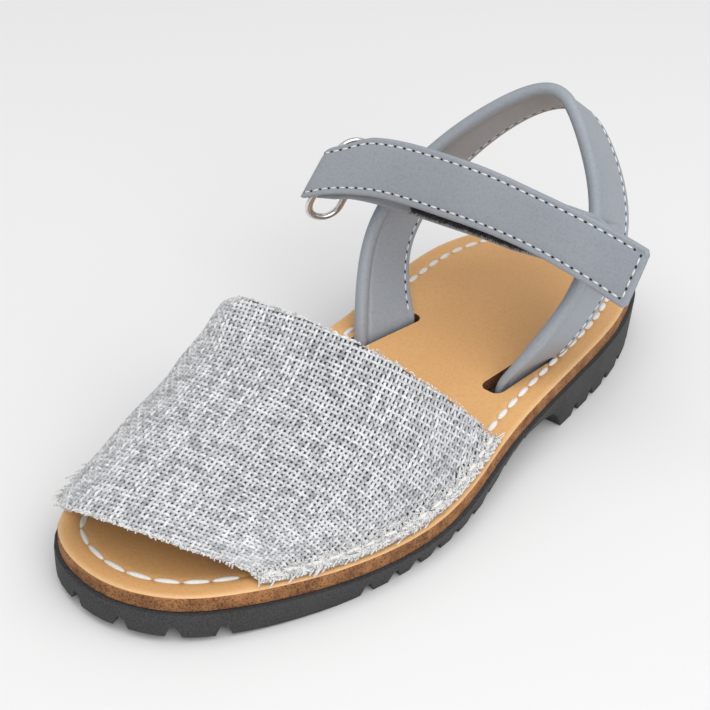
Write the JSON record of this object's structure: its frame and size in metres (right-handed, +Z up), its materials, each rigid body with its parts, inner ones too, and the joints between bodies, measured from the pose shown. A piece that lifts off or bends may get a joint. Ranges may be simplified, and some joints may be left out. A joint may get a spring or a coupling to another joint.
{
  "type": "avarca sandal",
  "caption": "Left child's avarca sandal: woven open-toe vamp and leather insole on a notched rubber sole, rolled heel strap, and an instep strap folded through a metal ring.",
  "frame": {"origin": "on the floor under the centre of the whole shoe's box", "axes": "+Z up, +Y towards the heel, -Y towards the toe, +X towards the outer side of the left foot"},
  "size_m": [0.0922, 0.1818, 0.0675],
  "materials": {
    "outsole_rubber": "matt, finely pitted",
    "insole_leather": "smooth tan leather with a raw edge",
    "vamp_cloth": "coarse plain weave of pale and dark flecked yarn",
    "strap_leather": "smooth blue-grey leather, slightly glossy",
    "ring_metal": "polished wire",
    "fastener_cloth": "hooks and loops"
  },
  "bodies": {
    "root": {"outsole": "outsole_rubber", "insole": "insole_leather", "vamp": "vamp_cloth", "heel_strap": "strap_leather", "instep_strap": "strap_leather", "ring_loop": "strap_leather", "ring": "ring_metal", "loop_patch": "fastener_cloth", "hook_patch": "fastener_cloth"}
  },
  "joints": []
}
